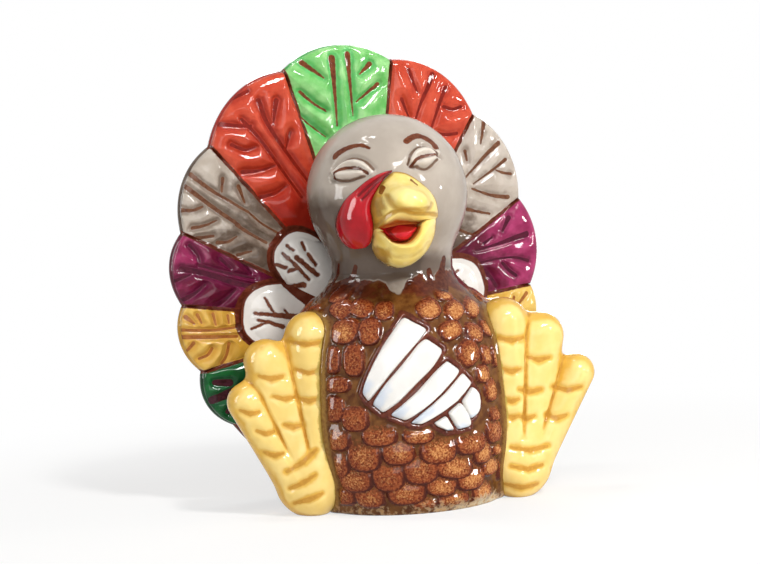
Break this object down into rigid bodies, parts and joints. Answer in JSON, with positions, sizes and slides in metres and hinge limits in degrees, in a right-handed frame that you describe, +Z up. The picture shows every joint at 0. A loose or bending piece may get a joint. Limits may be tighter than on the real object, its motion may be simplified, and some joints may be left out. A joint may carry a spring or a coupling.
{
  "type": "turkey figure",
  "caption": "Seated turkey figure of glazed ceramic: ball head with beak and snood, barrel body with a wing relief, upright feet at its sides and a scalloped tail fan behind.",
  "frame": {"origin": "on the ground, under the middle of the figure's bounding box", "axes": "+Z up; the bird looks along -Y, so its tail stands at +Y and its own right side is at -X"},
  "size_m": [0.1754, 0.102, 0.1998],
  "materials": {
    "brown_glaze": "mottled red-brown under a clear gloss glaze",
    "grey_glaze": "warm grey under a clear gloss glaze",
    "yellow_glaze": "yellow under a clear gloss glaze",
    "red_glaze": "deep red under a clear gloss glaze",
    "orange_red_glaze": "orange-red under a clear gloss glaze",
    "green_glaze": "leaf green under a clear gloss glaze",
    "deep_green_glaze": "deep green under a clear gloss glaze",
    "purple_glaze": "plum under a clear gloss glaze",
    "white_glaze": "white under a clear gloss glaze",
    "dark_brown_glaze": "dark brown under a clear gloss glaze"
  },
  "bodies": {
    "root": {"body_shell": "brown_glaze", "head_shell": "grey_glaze", "upper_beak": "yellow_glaze", "lower_beak": "yellow_glaze", "tongue": "red_glaze", "snood": "red_glaze", "right_upper_eyelid": "grey_glaze", "right_lower_eyelid": "grey_glaze", "left_upper_eyelid": "grey_glaze", "left_lower_eyelid": "grey_glaze", "tail_plate": "dark_brown_glaze", "tail_feather_green_top": "green_glaze", "tail_feather_red_right": "orange_red_glaze", "tail_feather_red_left": "orange_red_glaze", "tail_feather_grey_right": "grey_glaze", "tail_feather_grey_left": "grey_glaze", "tail_feather_purple_right": "purple_glaze", "tail_feather_purple_left": "purple_glaze", "tail_feather_yellow_right": "yellow_glaze", "tail_feather_yellow_left": "yellow_glaze", "tail_feather_deep_green_right": "deep_green_glaze", "tail_feather_deep_green_left": "deep_green_glaze", "inner_feather_top": "white_glaze", "inner_feather_right_upper": "white_glaze", "inner_feather_left_upper": "white_glaze", "inner_feather_right_lower": "white_glaze", "inner_feather_left_lower": "white_glaze", "wing_feather_1": "white_glaze", "wing_feather_2": "white_glaze", "wing_feather_3": "white_glaze", "wing_feather_4": "white_glaze", "wing_short_1": "white_glaze", "wing_short_2": "white_glaze", "wing_short_3": "white_glaze", "right_foot": "yellow_glaze", "left_foot": "yellow_glaze"}
  },
  "joints": []
}
